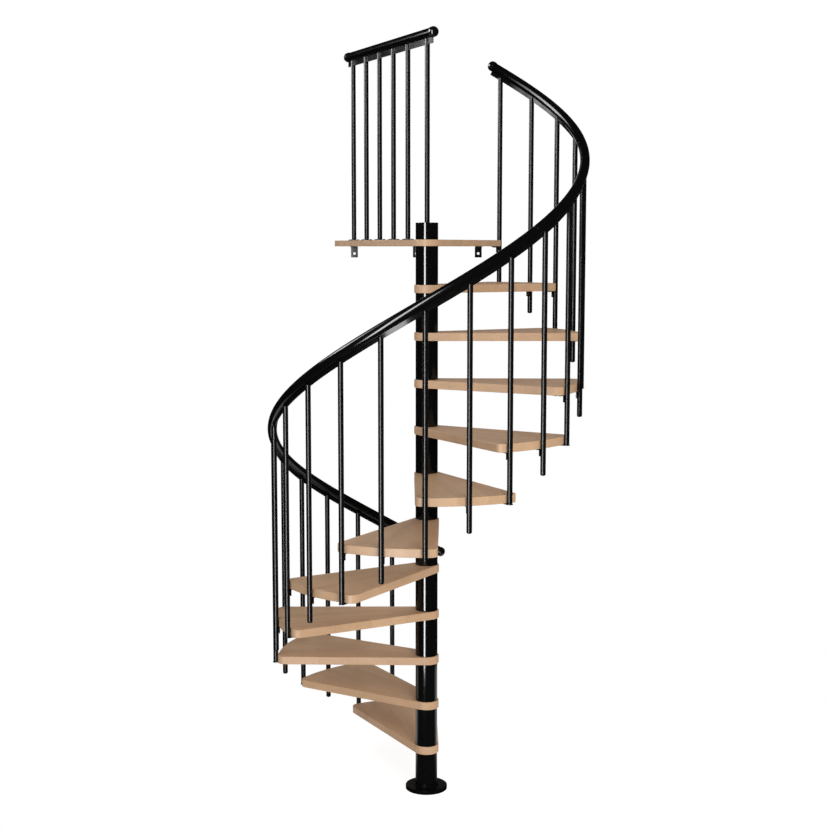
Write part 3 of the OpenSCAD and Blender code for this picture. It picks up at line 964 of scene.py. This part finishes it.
# %% [markdown]
# ## Handrail
# The handrail is a round tube rolled into a helix in three lengths. Its section is carried
# along the helix and kept square to it, and each length's ends are eased by less than half a
# millimetre, so the butt joints show as hairlines. A curve with a bevel could do it, but
# stations set by angle keep the joints and the balusters' places exact.


# %% Handrail helpers
def along_helix(station, u, v):
    """Point of the rail's section at a station: u is outward, v is up and square to the run."""
    a, c, s = math.radians(station[0]), math.cos(PITCH), math.sin(PITCH)
    return ((BAR_CIRCLE + u) * math.cos(a) + v * s * math.sin(a),
            (BAR_CIRCLE + u) * math.sin(a) - v * s * math.cos(a),
            rail_height(station[0]) + v * c)


RAIL_FROM, RAIL_TO = START - 4.6, LAST + 2.8
JOINT_EASE = 0.0003
DEGREE = BAR_CIRCLE * math.radians(1) / math.cos(PITCH)


def stations(first, last, step=2.25):
    """Angles along a length with the inset of its section, which is eased at both ends."""
    count = math.ceil((last - first) / step)
    bite = JOINT_EASE / DEGREE
    inner = [(first + bite + (last - first - 2 * bite) * i / count, 0.0) for i in range(count + 1)]
    return [(first, JOINT_EASE)] + inner + [(last, JOINT_EASE)]


def tube_section(station):
    """Round section of the handrail."""
    return arc(0, 0, RAIL_R - station[1], 0, 360, 48)[:-1]


def rolled(name, node_name, section, paint):
    """A rail in three lengths that butt together."""
    third = (RAIL_TO - RAIL_FROM) / 3
    for i, part in enumerate(("lower", "middle", "upper")):
        stops = stations(RAIL_FROM + i * third, RAIL_FROM + (i + 1) * third)
        mesh = carried(node_name + part, section, stops, along_helix)
        mesh.materials.append(paint)
        put(name + part, smoothed(mesh), [node_name + part])


print("one degree of handrail is", round(DEGREE * 1000, 2), "mm long")

# %% Handrail
rolled("handrail_tube_", "handrail_", tube_section, handrail_paint)
print("handrail runs", round((RAIL_TO - RAIL_FROM) * DEGREE, 3), "m")

# %% [markdown]
# ## Flat strip
# A flat bar on edge is welded under the tube, and the balusters straddle it. It follows the
# same helix with a thin section whose lower corners are eased. Its top runs a hair into the
# tube, as a welded strip does.


# %% Flat strip
STRIP_SINK, STRIP_EASE = 0.0006, 0.0008


def strip_section(station):
    """Section of the flat strip, with its lower corners eased."""
    half, ease = STRIP_T / 2 - station[1], STRIP_EASE
    low, high = -STRIP_DROP + station[1], -RAIL_R + STRIP_SINK
    right = [(half, high)] + arc(half - ease, low + ease, ease, 360, 270, 3)
    return right + arc(-half + ease, low + ease, ease, 270, 180, 3) + [(-half, high)]


rolled("flat_strip_", "rail_strip_", strip_section, strip_paint)
print("strip", STRIP_T, "by", round(STRIP_DROP - RAIL_R, 4), "m")

# %% [markdown]
# ## End caps
# Each end of the handrail is closed by a domed plug with a short collar. It is turned from
# an outline with a fine groove between the collar and the dome, so that the light breaks
# there, and set square to the end of the tube.

# %% End caps
CAP_R, COLLAR, DOME, CAP_EASE = 0.0235, 0.012, 0.020, 0.0008
CAP_GROOVE, GROOVE_HEIGHTS = 0.0004, (0.0016, 0.0012, 0.0006)
outline = [(0, 0)] + arc(CAP_R - CAP_EASE, CAP_EASE, CAP_EASE, 270, 360, 3)
groove = zip((0, CAP_GROOVE, CAP_GROOVE), GROOVE_HEIGHTS)
outline += [(CAP_R - deep, COLLAR - down) for deep, down in groove]
outline += [(CAP_R * c, COLLAR + DOME * s) for c, s in arc(0, 0, 1, 0, 85, 17)]
outline += [(0, COLLAR + DOME)]
cap_mesh = turned("end_cap", outline, 64)
cap_mesh.materials.append(cap_paint)
cap_mesh = smoothed(cap_mesh)
slope = math.degrees(PITCH)
for name, angle, tip in (("lower", RAIL_FROM, 90 + slope), ("upper", RAIL_TO, slope - 90)):
    spot = turned_by(angle, "Z") @ at(BAR_CIRCLE, 0, rail_height(angle)) @ turned_by(tip, "X")
    put("end_cap_" + name, cap_mesh, ["handrail_cap_" + name], spot)
print("cap faces", len(cap_mesh.polygons))

# %% [markdown]
# ## Landing guard
# A straight guard stands along the landing's slanted side: six posts on round foot plates, a
# tube with the same end caps, and a flat strip that the posts straddle. It is built along X
# and then turned into its line, so the pieces stay simple.

# %% Guard sizes
GUARD_Z = LANDING_TOP + 0.903
GUARD_DROP = RAIL_R + 0.027
GUARD_LINE = at(0.002, 0.098, 0) @ turned_by(115.3, "Z")
POSTS = [0.0] + [0.203 + 0.159 * i for i in range(5)]
OVER, STRIP_OVER, STRIP_NOTCH, GUARD_EASE = 0.050, 0.008, 0.0083, 0.0007
FOOT_R, FOOT_T, FOOT_EASE, SCREW_CIRCLE, SCREW_Z = 0.0285, 0.004, 0.0014, 0.0205, 0.0032
print("posts at", [round(p, 3) for p in POSTS])

# %% Guard rail and caps
length = POSTS[-1] + 2 * OVER
eased = RAIL_R - JOINT_EASE
outline = [(0, 0), (eased, 0), (RAIL_R, JOINT_EASE)]
outline += [(RAIL_R, length - JOINT_EASE), (eased, length), (0, length)]
guard_tube = turned("guard_rail", outline, 64)
guard_tube.materials.append(handrail_paint)
start_spot = GUARD_LINE @ at(-OVER, 0, GUARD_Z)
put("guard_rail_tube", smoothed(guard_tube), ["guard_rail"], start_spot @ turned_by(90, "Y"))
put("guard_end_cap_near", cap_mesh, ["guard_cap_near"], start_spot @ turned_by(-90, "Y"))
far_spot = GUARD_LINE @ at(POSTS[-1] + OVER, 0, GUARD_Z)
put("guard_end_cap_far", cap_mesh, ["guard_cap_far"], far_spot @ turned_by(90, "Y"))
print("guard rail", round(length, 3), "m")

# %% Guard strip
near, tail = -OVER - STRIP_OVER, POSTS[-1] + OVER + STRIP_OVER
low, high, notch = -GUARD_DROP, -RAIL_R + STRIP_SINK, -CAP_R - SLOT
near_step, tail_step = near + STRIP_NOTCH, tail - STRIP_NOTCH
outline = [(near, low), (tail, low), (tail, notch), (tail_step, notch), (tail_step, high)]
outline += [(near_step, high), (near_step, notch), (near, notch)]
guard_flat = pressed("guard_strip", outline, -STRIP_T / 2, STRIP_T / 2, GUARD_EASE, 2)
guard_flat.transform(turned_by(90, "X"))
guard_flat.materials.append(strip_paint)
strip_spot = GUARD_LINE @ at(0, 0, GUARD_Z)
put("guard_flat_strip", smoothed(guard_flat), ["guard_strip"], strip_spot)
print("guard strip", round(tail - near, 3), "m")

# %% Guard posts and their feet
post = bar_mesh("post", LANDING_TOP + FOOT_T + SEAT, GUARD_Z - RAIL_R - SLOT)
post = slotted(post, GUARD_Z, 0, GUARD_DROP)
post_parts = [(post, at(x, 0, 0) @ turned_by(90, "Z"), 0) for x in POSTS]
rim = arc(FOOT_R - FOOT_EASE, FOOT_T - FOOT_EASE, FOOT_EASE, 0, 90, 5)
disc = turned("disc", [(0, 0), (FOOT_R, 0)] + rim + [(0, FOOT_T)], 64)
one_foot = [(disc, HERE, 0)]
one_foot += [(screw_mesh, turned_by(a, "Z") @ at(SCREW_CIRCLE, 0, SCREW_Z), 1) for a in (30, 150, 270)]
foot_parts = [part for x in POSTS for part in moved(one_foot, at(x, 0, LANDING_TOP))]
posts_mesh = joined("guard_posts", post_parts)
posts_mesh.materials.append(post_paint)
feet_mesh = fitted("guard_feet", foot_parts)
put("guard_post_bars", smoothed(posts_mesh), ["guard_posts"], GUARD_LINE)
put("guard_post_feet", feet_mesh, ["guard_posts"], GUARD_LINE)
print(len(POSTS), "posts")

# %% [markdown]
# ## Landing brackets
# Three bent angles hang under the landing's back edge, with one large hole each for the bolt
# that holds the landing to the floor it leads to. The bend is drawn in the outline, and the
# hole is cut through the upright leg.


# %% Landing brackets
BRACKET_LEG, BRACKET_DROP, BRACKET_T, BRACKET_W = 0.060, 0.056, 0.005, 0.035
BRACKET_EASE, BRACKET_SCREWS = 0.0008, (-0.045, -0.022)
HOLE_R, HOLE_DROP, DRILL = 0.0065, 0.036, 0.02
MIDDLE_X, BRACKET_GAP = -0.045, 0.313


def bracket_mesh():
    """Bent angle; its outer corner is at the origin, the flat leg runs along -Y."""
    flat = bent_angle("bracket", BRACKET_LEG, BRACKET_DROP, BRACKET_T, BRACKET_W, BRACKET_EASE)
    flat.transform(turned_by(90, "Z"))
    drill = turned("drill", [(0, -DRILL), (HOLE_R, -DRILL), (HOLE_R, DRILL), (0, DRILL)], 48)
    drill.transform(at(0, 0, -HOLE_DROP) @ turned_by(90, "X"))
    return cut_away(flat, drill)


parts = [(bracket_mesh(), HERE, 0)]
parts += [(screw_mesh, at(0, y, -BRACKET_T) @ below, 1) for y in BRACKET_SCREWS]
bracket = fitted("landing_bracket", parts)
for i, name in ((-1, "left"), (0, "middle"), (1, "right")):
    spot = at(MIDDLE_X + i * BRACKET_GAP, LANDING_BACK, LANDING_BASE)
    put("landing_bracket_" + name, bracket, ["landing_brackets"], spot)
print("bracket faces", len(bracket.polygons))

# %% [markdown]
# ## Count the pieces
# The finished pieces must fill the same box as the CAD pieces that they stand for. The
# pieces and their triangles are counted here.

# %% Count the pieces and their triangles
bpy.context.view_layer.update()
triangles = sum(len(face.vertices) - 2 for piece in made for face in piece.data.polygons)
print("pieces", len(made), "triangles", triangles)
